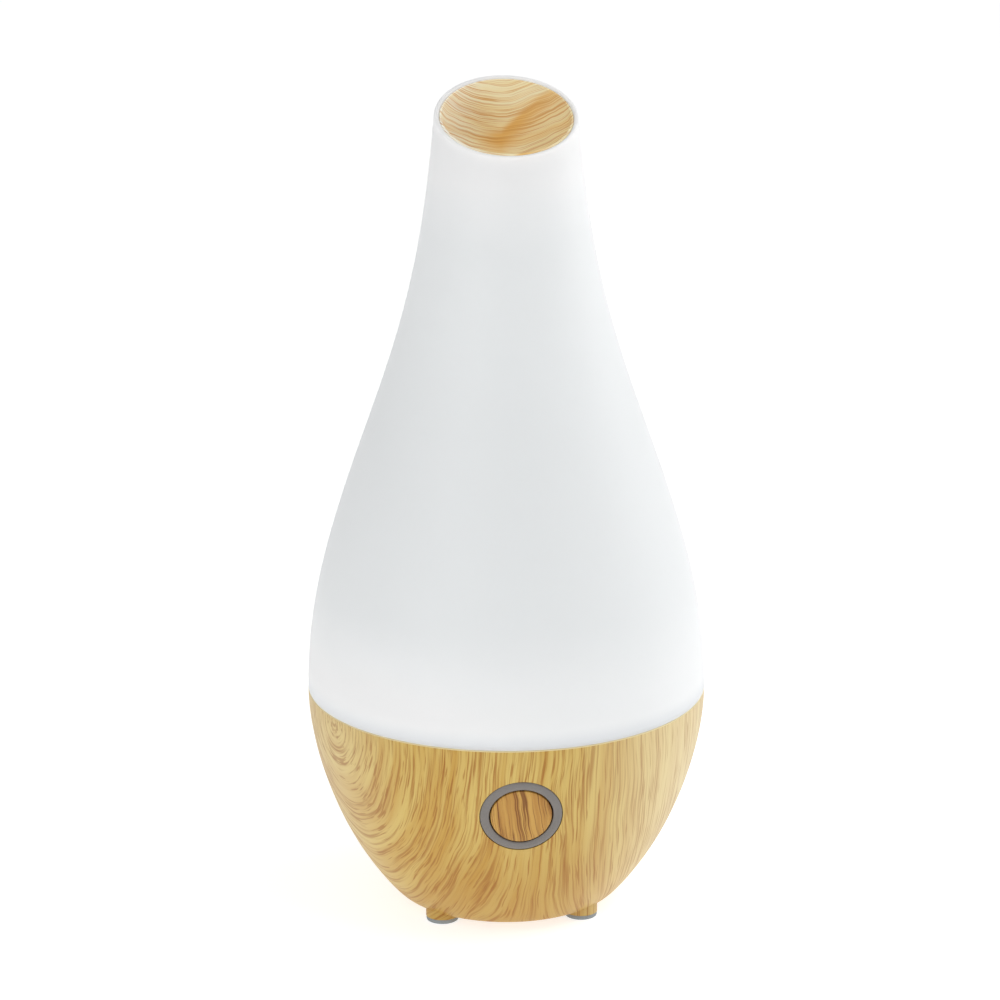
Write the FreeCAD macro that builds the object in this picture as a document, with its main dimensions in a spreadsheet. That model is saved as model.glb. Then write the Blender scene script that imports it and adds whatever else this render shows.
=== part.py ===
import FreeCAD, Part
import math
import os
import re
import Sketcher
from FreeCAD import Placement, Rotation, Vector

# Ultrasonic essential oil diffuser, shaped like a slim vase.
# Millimetres. Z is up, Z = 0 is the table under the foot pads, the Z axis is the vase's own axis,
# and the button faces -Y. Every level is a height above the table.

SIZES = {
    # Outside shape of the bowl: control points of its curve, from the toe up to the seam
    "belly_radius": 50.5,
    "bowl_bottom": 1.9,
    "bowl_toe_radius": 25.6,
    "bowl_toe_run": 2.0,
    "bowl_toe_rise": 0.3,
    "bowl_flank_radius": 30.0,
    "bowl_flank_level": 3.9,
    "bowl_side_radius": 43.6,
    "bowl_side_level": 22.4,
    "bowl_shoulder_level": 46.4,
    "bowl_top": 57.15,
    "bowl_rim_edge": 0.3,
    "bowl_wall": 2.2,
    "rebate_level": 53.0,
    "rebate_radius": 49.45,
    # Outside shape of the cover: control points of its curve, from the seam up to the tip
    "cover_foot_level": 57.2,
    "cover_hip_level": 74.2,
    "cover_side_radius": 43.8,
    "cover_side_level": 102.2,
    "cover_waist_radius": 32.6,
    "cover_waist_level": 132.2,
    "cover_neck_radius": 23.0,
    "cover_neck_level": 162.2,
    "cover_collar_radius": 18.95,
    "cover_collar_level": 189.2,
    "cover_tip_radius": 17.25,
    "cover_tip_level": 212.0,
    "cover_wall": 1.8,
    "cover_lip": 1.3,
    # Slanted mouth, low on the button's side
    "mouth_level": 205.0,
    "mouth_tilt": 20.3,
    "funnel_drop": 0.4,
    "funnel_gap": 0.15,
    "funnel_wall": 1.1,
    "throat_radius": 5.5,
    "funnel_tail_level": 176.0,
    "funnel_knee_level": 182.5,
    "funnel_dish_radius": 8.5,
    "funnel_dish_level": 187.0,
    "funnel_side_radius": 16.4,
    "funnel_side_level": 190.0,
    "funnel_brim_radius": 15.8,
    "funnel_brim_level": 201.0,
    # Legs, foot pads and the screws that close the case
    "leg_spread": 17.7,
    "leg_radius": 4.2,
    "pad_height": 1.2,
    "pad_radius": 4.1,
    "pad_plug_radius": 2.7,
    "pad_plug_height": 1.3,
    "well_radius": 3.0,
    "well_top": 15.5,
    "boss_joint": 18.0,
    "boss_gap": 0.05,
    "tank_boss_radius": 3.4,
    "case_screw_radius": 1.48,
    "case_screw_hole": 1.5,
    "case_screw_length": 11.5,
    "case_head_radius": 2.75,
    "case_head_height": 2.0,
    # Water tank
    "tank_floor": 36.5,
    "tank_wall": 2.0,
    "tank_low_radius": 30.8,
    "tank_high_radius": 32.6,
    "tank_shelf_level": 51.5,
    "tank_shelf_rise": 3.0,
    "tank_rim_radius": 46.1,
    "tank_ledge_radius": 45.0,
    "tank_ledge_level": 61.0,
    "tank_rim_level": 66.5,
    "spigot_radius": 47.9,
    "flange_radius": 49.3,
    "flange_level": 53.85,
    "flange_top": 57.0,
    "gasket_inner_radius": 48.5,
    "gasket_height": 0.8,
    "duct_reach": 25.0,
    "duct_radius": 6.0,
    "duct_bore": 4.8,
    "duct_top": 60.0,
    # Inner lid with the chimney that carries the mist up
    "guide_radius": 44.7,
    "guide_seat": 61.15,
    "guide_wall": 1.5,
    "guide_cone_top": 74.0,
    "chimney_radius": 9.5,
    "chimney_tip_radius": 7.0,
    "chimney_top": 150.0,
    # Mist-making disc under the tank floor
    "disc_hole": 8.5,
    "collar_radius": 13.3,
    "collar_bore": 11.5,
    "collar_bottom": 31.95,
    "seal_radius": 11.4,
    "seal_bore": 8.6,
    "seal_bottom": 32.0,
    "seal_top": 34.4,
    "plate_radius": 10.0,
    "plate_level": 33.2,
    "plate_thickness": 0.4,
    "piezo_radius": 7.9,
    "piezo_thickness": 1.0,
    "clamp_bore": 7.5,
    "clamp_radius": 13.2,
    "clamp_bottom": 30.4,
    "clamp_thickness": 1.5,
    "clamp_screw_reach": 14.0,
    "clamp_lug_radius": 2.3,
    "clamp_screw_radius": 0.98,
    "clamp_screw_hole": 1.0,
    "clamp_screw_length": 5.0,
    "clamp_head_radius": 1.9,
    "clamp_head_height": 1.1,
    # Ring of light-emitting chips
    "led_board_level": 31.0,
    "led_board_thickness": 1.2,
    "led_board_bore": 17.0,
    "led_board_radius": 21.5,
    "led_reach": 19.4,
    "led_width": 3.4,
    "led_height": 1.6,
    # Main circuit board and its parts
    "board_level": 23.6,
    "board_thickness": 1.6,
    "board_radius": 31.0,
    "board_back": 19.0,
    "board_boss_hole": 3.9,
    "standoff_reach": 27.0,
    "standoff_radius": 2.5,
    "board_screw_radius": 1.18,
    "board_screw_hole": 1.2,
    "board_screw_length": 7.0,
    "board_head_radius": 2.2,
    "board_head_height": 1.4,
    "part_height": 4.0,
    "sink_thickness": 1.0,
    "sink_length": 14.0,
    "sink_reach": 17.4,
    "fin_pitch": 1.6,
    "transistor_gap": 0.2,
    "coil_radius": 3.5,
    "capacitor_radius": 3.0,
    "connector_width": 5.0,
    "connector_depth": 6.0,
    "chip_length": 6.0,
    "chip_width": 4.0,
    "chip_height": 1.5,
    "chip_front": 5.0,
    "chip_offset": 1.2,
    "chip_leg": 0.4,
    "chip_leg_reach": 1.0,
    "chip_leg_pitch": 1.27,
    "transistor_length": 6.6,
    "transistor_width": 4.6,
    "transistor_height": 2.3,
    # Axial fan on the bowl's floor
    "fan_bottom": 6.2,
    "fan_width": 29.2,
    "fan_depth": 10.0,
    "fan_bore": 13.9,
    "fan_hole_spread": 12.0,
    "fan_hole": 1.5,
    "fan_post_radius": 2.4,
    "fan_screw_radius": 1.3,
    "fan_screw_length": 13.0,
    "fan_head_radius": 2.3,
    "fan_head_height": 1.4,
    "spider_thickness": 1.2,
    "spider_width": 2.4,
    "hub_plate_radius": 7.0,
    "bush_tube_radius": 3.0,
    "bush_radius": 2.0,
    "bush_top": 13.0,
    "stator_radius": 5.7,
    "stator_core_radius": 4.0,
    "stator_bottom": 8.2,
    "stator_top": 12.8,
    "stator_arm_width": 2.6,
    "rotor_bottom": 7.9,
    "rotor_top": 15.4,
    "rotor_hub_radius": 7.6,
    "rotor_cap": 1.0,
    "magnet_radius": 6.8,
    "magnet_bore": 6.05,
    "magnet_height": 5.0,
    "blade_tip_radius": 12.9,
    "blade_root": 0.6,
    "blade_thickness": 0.9,
    "blade_chord": 7.4,
    "blade_pitch": 42.0,
    "shaft_radius": 0.75,
    "shaft_hole": 0.78,
    "shaft_bottom": 7.6,
    # Air inlet slots in the floor
    "slot_inner": 4.0,
    "slot_outer": 12.5,
    "slot_width": 2.0,
    # Power jack, low at the back
    "jack_level": 17.0,
    "jack_face": 33.15,
    "jack_wall_inner": 33.2,
    "jack_wall_outer": 35.2,
    "jack_recess_radius": 6.0,
    "jack_boss_radius": 7.8,
    "jack_wall_hole": 3.4,
    "jack_barrel_radius": 4.9,
    "jack_barrel_length": 4.5,
    "jack_width": 9.0,
    "jack_block_depth": 9.5,
    "jack_below": 6.5,
    "jack_above": 4.5,
    "jack_bore": 3.0,
    "jack_bore_depth": 9.6,
    "jack_pin_radius": 1.0,
    "jack_pin_length": 8.2,
    "jack_board_thickness": 1.2,
    "jack_board_width": 20.0,
    "jack_board_depth": 11.0,
    "jack_board_front": 18.0,
    "jack_post_spread": 7.4,
    "jack_post_reach": 26.4,
    "jack_post_radius": 2.2,
    "jack_screw_radius": 0.98,
    "jack_screw_hole": 1.0,
    "jack_screw_length": 4.2,
    # Button, with depths measured inwards from the bowl's surface along the button's own axis
    "button_level": 38.7,
    "button_reach": 47.78,
    "button_tilt": 15.0,
    "ring_radius": 10.25,
    "ring_bore": 7.95,
    "ring_neck_radius": 9.35,
    "ring_proud": 0.2,
    "ring_shoulder": 2.55,
    "ring_back": 5.2,
    "ring_seat_radius": 10.35,
    "ring_seat_depth": 2.6,
    "ring_hole": 9.45,
    "housing_radius": 12.4,
    "housing_back": 4.5,
    "cap_radius": 7.6,
    "cap_recess": 0.05,
    "cap_hollow_radius": 6.2,
    "cap_hollow_depth": 2.2,
    "cap_flange_radius": 8.9,
    "cap_flange_front": 5.3,
    "cap_flange_back": 6.1,
    "cap_stem_radius": 1.8,
    "cap_stem_back": 7.0,
    "plunger_radius": 1.7,
    "plunger_front": 7.02,
    "plunger_back": 9.3,
    "switch_front": 8.5,
    "switch_back": 12.0,
    "switch_width": 6.0,
    "switch_hole": 1.8,
    "switch_hole_back": 10.1,
    "switch_board_thickness": 1.2,
    "switch_board_width": 29.0,
    "switch_board_height": 10.6,
    "switch_post_spread": 12.0,
    "switch_post_radius": 2.1,
    "switch_screw_radius": 0.98,
    "switch_screw_hole": 1.0,
    "switch_screw_length": 5.0,
    "small_head_radius": 1.8,
    "small_head_height": 1.2,
    # Leads inside the case
    "lead_radius": 0.8,
    "lead_bend": 2.5,
    "lead_height": 2.2,
    "lead_back_run": 20.8,
    "fan_lead_level": 13.0,
    "disc_lead_reach": 2.0,
    "switch_lead_reach": 34.8,
    "switch_lead_level": 36.7,
}

LEG_SIGNS = {"front_left": (-1, -1), "front_right": (1, -1), "rear_left": (-1, 1), "rear_right": (1, 1)}
FAN_BLADES = 7
FAN_ARMS = 3
STATOR_ARMS = 4
INLET_SLOTS = 12
CLAMP_SCREWS = 3
LED_CHIPS = 6
SINK_FINS = 4
CHIP_LEGS = 4

# Middle of each part on the main board (x, y), and whether a socket opens along Y
COIL_PLACES = ((-19.5, -7.5), (-11.5, -7.5))
CAPACITOR_PLACES = ((10, -14), (-7, -20))
SOCKETS = ((-7.3, 14, True), (7.3, 14, True), (-11, 3, False), (2, -12.1, True), (6, -26, True))

# How far below the horizontal the bowl's surface faces at each control point, in degrees
BOWL_LEAN = (65, 60, 44, 20, 0, 0)

CLEAR = 20.0    # how far a cutting shape stands out past what it cuts
PAST = 1.0      # how far a hole runs past the face it opens in
WELD = 0.5      # how far a fused shape reaches into its neighbour
UPRIGHT = Rotation()
BACKWARDS = Rotation(Vector(1, 0, 0), -90)    # local Z points to +Y

doc = FreeCAD.newDocument("diffuser")
sheet = doc.addObject("Spreadsheet::Sheet", "Sizes")
pieces = []


# ---------------------------------------------------------------- sheet and small helpers

def fill_sheet():
    """Write every driving dimension into the sheet under its own alias."""
    for row, (alias, size) in enumerate(SIZES.items(), start=1):
        sheet.set(f"A{row}", alias)
        sheet.set(f"B{row}", str(size))
        sheet.setAlias(f"B{row}", alias)
    doc.recompute()


def linked(expression):
    """Return the expression with the sheet's name in front of every alias."""
    def link(word):
        return f"Sizes.{word[0]}" if word[0] in SIZES else word[0]
    return re.sub(r"[a-z_]+", link, str(expression))


def size(expression):
    """Return the present value of an expression of aliases, as a plain number."""
    found = sheet.evalExpression(linked(expression))
    return float(getattr(found, "Value", found))


def bind(thing, **expressions):
    """Bind properties of an object to expressions of aliases."""
    for name, expression in expressions.items():
        thing.setExpression(name, linked(expression))


def place(thing, at, turn=UPRIGHT):
    """Turn an object and bind its position to three expressions."""
    thing.Placement = Placement(Vector(), turn)
    for axis, expression in zip("xyz", at):
        thing.setExpression(f"Placement.Base.{axis}", linked(expression))
    return thing


def piece(label, thing):
    """Name a finished sub-part."""
    thing.Label = label
    pieces.append(thing)
    return thing


# ---------------------------------------------------------------- solids and booleans

def cylinder(radius, height, at=(0, 0, 0), turn=UPRIGHT):
    thing = doc.addObject("Part::Cylinder", "Cylinder")
    bind(thing, Radius=radius, Height=height)
    return place(thing, at, turn)


def block(length, width, height, at, turn=UPRIGHT):
    """Box whose near, left, bottom corner is at the given place."""
    thing = doc.addObject("Part::Box", "Block")
    bind(thing, Length=length, Width=width, Height=height)
    return place(thing, at, turn)


def tube(radius, bore, height, at=(0, 0, 0), turn=UPRIGHT):
    return cut(cylinder(radius, height, at, turn), [cylinder(bore, height, at, turn)])


def fuse(things):
    thing = doc.addObject("Part::MultiFuse", "Fusion")
    thing.Shapes = things
    return thing


def cut(base, tools):
    thing = doc.addObject("Part::Cut", "Cut")
    thing.Base = base
    thing.Tool = tools[0] if len(tools) == 1 else fuse(tools)
    return thing


def common(first, second):
    thing = doc.addObject("Part::Common", "Common")
    thing.Base = first
    thing.Tool = second
    return thing


def group(things):
    """Several separate solids that share one sub-part."""
    thing = doc.addObject("Part::Compound", "Group")
    thing.Links = things
    return thing


def screw(head_radius, head_height, shank_radius, shank_length, at, turn=UPRIGHT):
    """Pan-head screw with a cross recess. The head sits below the given place, the shank above it."""
    recess = 0.5
    arm = 0.5
    body = doc.addObject("PartDesign::Body", "Screw")
    sketch = sketch_on(body, "XZ_Plane")
    outline(sketch, [
        ("line", [(0, f"-{head_height}"), (head_radius, f"-{head_height}"), (head_radius, 0),
                  (shank_radius, 0), (shank_radius, shank_length), (0, shank_length)]),
    ])
    revolve(body, sketch)
    cross = []
    for along, across in ((head_radius, arm), (arm, head_radius)):
        centre = [f"-({along}) / 2", f"-({across}) / 2", f"-({head_height})"]
        cross.append(block(along, across, f"{head_height} * {recess}", centre))
    return place(cut(body, cross), at, turn)


# ---------------------------------------------------------------- sketches

def sketch_on(body, role, offset=0):
    """New sketch on one of the body's origin planes, lifted off it by an offset."""
    sketch = body.newObject("Sketcher::SketchObject", "Outline")
    plane = [part for part in body.Origin.OriginFeatures if part.Role == role][0]
    sketch.AttachmentSupport = [(plane, "")]
    sketch.MapMode = "FlatFace"
    sketch.setExpression("AttachmentOffset.Base.z", linked(offset))
    return sketch


def hold_point(sketch, geometry, point, across, up):
    """Bind one point of a sketch to its two coordinates."""
    for kind, expression in (("DistanceX", across), ("DistanceY", up)):
        number = sketch.addConstraint(Sketcher.Constraint(kind, -1, 1, geometry, point, size(expression)))
        sketch.setExpression(f"Constraints[{number}]", linked(expression))


def line(sketch, start, end):
    """Add a line whose start is bound to its place. Return its ends."""
    first = Vector(size(start[0]), size(start[1]), 0)
    last = Vector(size(end[0]), size(end[1]), 0)
    number = sketch.addGeometry(Part.LineSegment(first, last), False)
    hold_point(sketch, number, 1, *start)
    return (number, 1), (number, 2)


def curve(sketch, poles):
    """Add a smooth curve whose control points, all but the last, are bound. Return its ends."""
    spans = len(poles) - 3
    spline = Part.BSplineCurve()
    spline.buildFromPolesMultsKnots(
        [Vector(size(across), size(up), 0) for across, up in poles],
        degree=3, mults=[4] + [1] * (spans - 1) + [4], knots=list(range(spans + 1)))
    number = sketch.addGeometry(spline, False)
    sketch.exposeInternalGeometry(number)
    for index, pole in enumerate(poles[:-1], start=1):
        hold_point(sketch, number + index, 3, *pole)
    return (number, 1), (number, 2)


def outline(sketch, runs):
    """Draw a closed outline from runs of lines and curves. Each run starts where the last one ended."""
    ends = []
    for index, (kind, points) in enumerate(runs):
        next_points = runs[(index + 1) % len(runs)][1]
        if kind == "curve":
            ends.append(curve(sketch, points))
            continue
        corners = points + [next_points[0]]
        for start, end in zip(corners, corners[1:]):
            if start != end:
                ends.append(line(sketch, start, end))
    for here, after in zip(ends, ends[1:] + ends[:1]):
        sketch.addConstraint(Sketcher.Constraint("Coincident", *here[1], *after[0]))


def polygon(sketch, corners):
    outline(sketch, [("line", corners)])


def ring_outline(sketch, across, up, radius):
    """Draw a circle whose centre and radius are bound."""
    centre = Vector(size(across), size(up), 0)
    number = sketch.addGeometry(Part.Circle(centre, Vector(0, 0, 1), size(radius)), False)
    hold_point(sketch, number, 3, across, up)
    held = sketch.addConstraint(Sketcher.Constraint("Radius", number, size(radius)))
    sketch.setExpression(f"Constraints[{held}]", linked(radius))


# ---------------------------------------------------------------- part design features

def revolve(body, sketch):
    """Turn a half section, drawn on the XZ plane, about the Z axis."""
    feature = body.newObject("PartDesign::Revolution", "Turned")
    feature.Profile = sketch
    feature.ReferenceAxis = (sketch, ["V_Axis"])
    feature.Angle = 360
    return feature


def pad(body, sketch, length):
    feature = body.newObject("PartDesign::Pad", "Pad")
    feature.Profile = sketch
    bind(feature, Length=length)
    return feature


def turned(runs):
    """Body made by turning one outline about the Z axis."""
    body = doc.addObject("PartDesign::Body", "Turning")
    sketch = sketch_on(body, "XZ_Plane")
    outline(sketch, runs)
    revolve(body, sketch)
    return body


def repeat_about_axis(body, feature, count):
    """Repeat a feature evenly about the body's Z axis."""
    pattern = body.newObject("PartDesign::PolarPattern", "Pattern")
    pattern.Originals = [feature]
    pattern.Axis = ([part for part in body.Origin.OriginFeatures if part.Role == "Z_Axis"][0], [""])
    pattern.Angle = 360
    pattern.Occurrences = count
    body.Tip = pattern
    return pattern


def slant_cut(body, level):
    """Cut a body along the slanted plane of the mouth, which crosses the Z axis at a level."""
    sketch = sketch_on(body, "YZ_Plane")
    reach = "belly_radius"
    polygon(sketch, [
        (f"-{reach}", f"{level} - {reach} * tan(mouth_tilt)"),
        (reach, f"{level} + {reach} * tan(mouth_tilt)"),
        (reach, f"cover_tip_level + {reach}"),
        (f"-{reach}", f"cover_tip_level + {reach}"),
    ])
    pocket = body.newObject("PartDesign::Pocket", "SlantedMouth")
    pocket.Profile = sketch
    pocket.Type = "ThroughAll"
    pocket.SideType = "Symmetric"
    return pocket


def ring_places(count, reach, level, start=0):
    """Evenly spaced places on a circle about the Z axis."""
    step = 360 / count
    angles = [start + step * index for index in range(count)]
    return [(f"{reach} * cos({angle})", f"{reach} * sin({angle})", level) for angle in angles]


# ---------------------------------------------------------------- cover and its funnel

def cover_poles(inset, lip):
    """Control points of the cover's curve, moved in by the wall, which thins to the lip at the tip."""
    return [
        (f"belly_radius - {inset}", "cover_foot_level"),
        (f"belly_radius - {inset}", "cover_hip_level"),
        (f"cover_side_radius - {inset}", "cover_side_level"),
        (f"cover_waist_radius - {inset}", "cover_waist_level"),
        (f"cover_neck_radius - {inset}", "cover_neck_level"),
        (f"cover_collar_radius - {lip}", "cover_collar_level"),
        (f"cover_tip_radius - {lip}", "cover_tip_level"),
    ]


def make_cover_shell():
    body = turned([
        ("curve", cover_poles("0", "0")),
        ("line", [("cover_tip_radius", "cover_tip_level")]),
        ("curve", cover_poles("cover_wall", "cover_lip")[::-1]),
        ("line", [("belly_radius - cover_wall", "cover_foot_level")]),
    ])
    slant_cut(body, "mouth_level")
    return piece("cover_shell", body)


def make_mouth_funnel():
    """Dish that lines the mouth and drops to a round throat."""
    tip = "cover_tip_radius - cover_lip - funnel_gap"
    inside = [
        ("throat_radius", "funnel_tail_level"),
        ("throat_radius", "funnel_knee_level"),
        ("funnel_dish_radius", "funnel_dish_level"),
        ("funnel_side_radius", "funnel_side_level"),
        ("funnel_brim_radius", "funnel_brim_level"),
        (f"{tip} - funnel_wall", "cover_tip_level"),
    ]
    outside = [
        ("throat_radius + funnel_wall", "funnel_tail_level"),
        ("throat_radius + funnel_wall", "funnel_knee_level - funnel_wall"),
        ("funnel_dish_radius + funnel_wall", "funnel_dish_level - funnel_wall"),
        ("funnel_side_radius + funnel_wall", "funnel_side_level - funnel_wall"),
        ("funnel_brim_radius + funnel_wall", "funnel_brim_level"),
        (tip, "cover_tip_level"),
    ]
    body = turned([
        ("curve", outside),
        ("line", [outside[-1]]),
        ("curve", inside[::-1]),
        ("line", [inside[0]]),
    ])
    slant_cut(body, "mouth_level - funnel_drop")
    return piece("mouth_funnel", body)


def make_mist_guide():
    """Shallow cone that closes the tank and ends in a tall, slightly tapered chimney."""
    body = turned([
        ("line", [
            ("guide_radius", "guide_seat"),
            ("guide_radius", "guide_seat + guide_wall"),
            ("chimney_radius + guide_wall", "guide_cone_top"),
            ("chimney_radius", "guide_cone_top + guide_wall"),
            ("chimney_tip_radius", "chimney_top"),
            ("chimney_tip_radius - guide_wall", "chimney_top"),
            ("chimney_radius - guide_wall", "guide_cone_top - guide_wall"),
            ("guide_radius - 2 * guide_wall", "guide_seat"),
        ]),
    ])
    return piece("mist_guide", body)


# ---------------------------------------------------------------- bowl

def bowl_form(growth):
    """Solid inside the bowl's outer curve, grown outwards by a small amount."""
    poles = [(f"{radius} + ({growth}) * cos({lean})", f"{level} - ({growth}) * sin({lean})")
             for (radius, level), lean in zip(bowl_poles(), BOWL_LEAN)]
    rim = (f"{poles[-1][0]} - bowl_rim_edge", "bowl_top")
    return turned([
        ("curve", poles),
        ("line", [poles[-1], rim, (0, "bowl_top"), (0, poles[0][1])]),
    ])


def bowl_poles():
    """Control points of the bowl's outer curve."""
    return [
        ("bowl_toe_radius", "bowl_bottom"),
        ("bowl_toe_radius + bowl_toe_run", "bowl_bottom + bowl_toe_rise"),
        ("bowl_flank_radius", "bowl_flank_level"),
        ("bowl_side_radius", "bowl_side_level"),
        ("belly_radius", "bowl_shoulder_level"),
        ("belly_radius", "bowl_top - bowl_rim_edge"),
    ]


def on_button_axis(depth, across=0):
    """Place at a depth along the button's axis, which leans inwards and up."""
    return (across,
            f"-button_reach + ({depth}) * cos(button_tilt)",
            f"button_level + ({depth}) * sin(button_tilt)")


def button_turn():
    """Local Z points inwards along the button's axis."""
    return Rotation(Vector(1, 0, 0), size("button_tilt") - 90)


def leg_places(level):
    return [(f"{x} * leg_spread", f"{y} * leg_spread", level) for x, y in LEG_SIGNS.values()]


def bowl_cavity():
    """Inside of the bowl, with every boss that stands in it left out."""
    poles = [(f"{radius} - bowl_wall * cos({lean})", f"{level} + bowl_wall * sin({lean})")
             for (radius, level), lean in zip(bowl_poles(), BOWL_LEAN)]
    poles[-1] = ("belly_radius - bowl_wall", "rebate_level")
    hollow = turned([
        ("curve", poles),
        ("line", [poles[-1], ("rebate_radius", "rebate_level"), ("rebate_radius", f"bowl_top + {PAST}"),
                  (0, f"bowl_top + {PAST}"), (0, poles[0][1])]),
    ])
    bosses = [cylinder("leg_radius", "boss_joint - pad_height", at) for at in leg_places("pad_height")]
    for x, y in LEG_SIGNS.values():
        foot = (f"{x} * fan_hole_spread", f"{y} * fan_hole_spread", "bowl_bottom")
        bosses.append(cylinder("fan_post_radius", "fan_bottom - bowl_bottom", foot))
    for side in (-1, 1):
        foot = (f"{side} * jack_post_spread", "jack_post_reach", "bowl_bottom")
        height = "jack_level - jack_below - jack_board_thickness - bowl_bottom"
        bosses.append(cylinder("jack_post_radius", height, foot))
        bosses.append(cylinder("switch_post_radius", "switch_back",
                               on_button_axis(0, f"{side} * switch_post_spread"), button_turn()))
    bosses.append(cylinder("jack_boss_radius", "belly_radius - jack_wall_inner",
                           (0, "jack_wall_inner", "jack_level"), BACKWARDS))
    bosses.append(cylinder("housing_radius", f"housing_back + {CLEAR}",
                           on_button_axis(-CLEAR), button_turn()))
    return cut(hollow, bosses)


def inlet_slots():
    """Round-ended slots that let air in below the fan."""
    slots = []
    for index in range(INLET_SLOTS):
        angle = 360 / INLET_SLOTS * (index + 0.5)
        slot = block("slot_outer - slot_inner", "slot_width", f"bowl_wall + 2 * {PAST}",
                     (f"slot_inner * cos({angle}) + slot_width / 2 * sin({angle})",
                      f"slot_inner * sin({angle}) - slot_width / 2 * cos({angle})",
                      f"bowl_bottom - {PAST}"),
                     Rotation(Vector(0, 0, 1), angle))
        slots.append(slot)
        end = (f"slot_outer * cos({angle})", f"slot_outer * sin({angle})", f"bowl_bottom - {PAST}")
        slots.append(cylinder("slot_width / 2", f"bowl_wall + 2 * {PAST}", end))
    return slots


def make_base_bowl():
    legs = [cylinder("leg_radius", "boss_joint - pad_height", at) for at in leg_places("pad_height")]
    walls = cut(fuse([bowl_form(0)] + legs), [bowl_cavity()])
    holes = inlet_slots()
    holes += [cylinder("well_radius", "well_top - pad_height", at) for at in leg_places("pad_height")]
    holes += [cylinder("case_screw_hole", "boss_joint", at) for at in leg_places("pad_height")]
    for x, y in LEG_SIGNS.values():
        at = (f"{x} * fan_hole_spread", f"{y} * fan_hole_spread", "bowl_bottom + bowl_wall / 2")
        holes.append(cylinder("fan_hole", "fan_depth", at))
    for side in (-1, 1):
        at = (f"{side} * jack_post_spread", "jack_post_reach", "bowl_bottom + 2 * bowl_wall")
        holes.append(cylinder("jack_screw_hole", "jack_level", at))
        post = on_button_axis("switch_back - switch_screw_length", f"{side} * switch_post_spread")
        holes.append(cylinder("switch_screw_hole", f"switch_screw_length + {PAST}", post, button_turn()))
    holes.append(cylinder("jack_recess_radius", CLEAR, (0, "jack_wall_outer", "jack_level"), BACKWARDS))
    holes.append(cylinder("jack_wall_hole", CLEAR,
                          (0, f"jack_wall_inner - {PAST}", "jack_level"), BACKWARDS))
    holes.append(cylinder("ring_seat_radius", f"ring_seat_depth + {CLEAR}",
                          on_button_axis(-CLEAR), button_turn()))
    holes.append(cylinder("ring_hole", CLEAR, on_button_axis(0), button_turn()))
    return piece("base_bowl", cut(walls, holes))


def make_foot_pads():
    for name, (x, y) in LEG_SIGNS.items():
        at = (f"{x} * leg_spread", f"{y} * leg_spread", 0)
        plug = cylinder("pad_plug_radius", "pad_height + pad_plug_height", at)
        piece(f"foot_pad_{name}", fuse([cylinder("pad_radius", "pad_height", at), plug]))


def make_case_screws():
    screws = [screw("case_head_radius", "case_head_height", "case_screw_radius", "case_screw_length", at)
              for at in leg_places("well_top")]
    return piece("case_screws", group(screws))


# ---------------------------------------------------------------- water tank

def make_water_tank():
    under = "tank_floor - tank_wall"
    dish = turned([
        ("line", [
            ("disc_hole", "tank_floor"),
            ("tank_low_radius", "tank_floor"),
            ("tank_high_radius", "tank_shelf_level"),
            ("tank_ledge_radius", "tank_shelf_level + tank_shelf_rise"),
            ("tank_ledge_radius", "tank_ledge_level"),
            ("tank_rim_radius", "tank_ledge_level"),
            ("tank_rim_radius", "tank_rim_level"),
            ("spigot_radius", "tank_rim_level"),
            ("spigot_radius", "flange_top"),
            ("flange_radius", "flange_top"),
            ("flange_radius", "flange_level"),
            ("spigot_radius", "flange_level"),
            ("spigot_radius - tank_wall", "tank_shelf_level + tank_shelf_rise - tank_wall"),
            ("tank_high_radius + tank_wall", "tank_shelf_level - tank_wall / 2"),
            ("tank_low_radius + tank_wall", under),
            ("disc_hole", under),
        ]),
    ])
    bosses = [dish]
    bosses.append(tube("collar_radius", "collar_bore", f"{under} - collar_bottom + {WELD}",
                       (0, 0, "collar_bottom")))
    bosses += [cylinder("tank_boss_radius", f"{under} - boss_joint + {WELD}", at)
               for at in leg_places("boss_joint + boss_gap")]
    bosses += [cylinder("standoff_radius", f"{under} - board_level - board_thickness + {WELD}", at)
               for at in standoff_places("board_level + board_thickness")]
    bosses += [cylinder("clamp_lug_radius", f"{under} - collar_bottom + {WELD}", at)
               for at in ring_places(CLAMP_SCREWS, "clamp_screw_reach", "collar_bottom", 90)]
    bosses.append(cylinder("duct_radius", f"duct_top - ({under})", (0, "duct_reach", under)))
    holes = [cylinder("duct_bore", f"duct_top + {CLEAR}", (0, "duct_reach", f"{under} - {PAST}"))]
    holes += [cylinder("case_screw_hole", "case_screw_length", at) for at in leg_places("boss_joint")]
    holes += [cylinder("board_screw_hole", "board_screw_length - board_thickness", at)
              for at in standoff_places("board_level + board_thickness")]
    holes += [cylinder("clamp_screw_hole", "clamp_screw_length - clamp_thickness", at)
              for at in ring_places(CLAMP_SCREWS, "clamp_screw_reach", "collar_bottom", 90)]
    holes.append(cylinder("collar_bore", f"{under} - collar_bottom", (0, 0, "collar_bottom")))
    return piece("water_tank", cut(fuse(bosses), holes))


def make_tank_gasket():
    ring = tube("flange_radius", "gasket_inner_radius", "gasket_height", (0, 0, "rebate_level"))
    return piece("tank_gasket", ring)


# ---------------------------------------------------------------- mist maker

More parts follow.
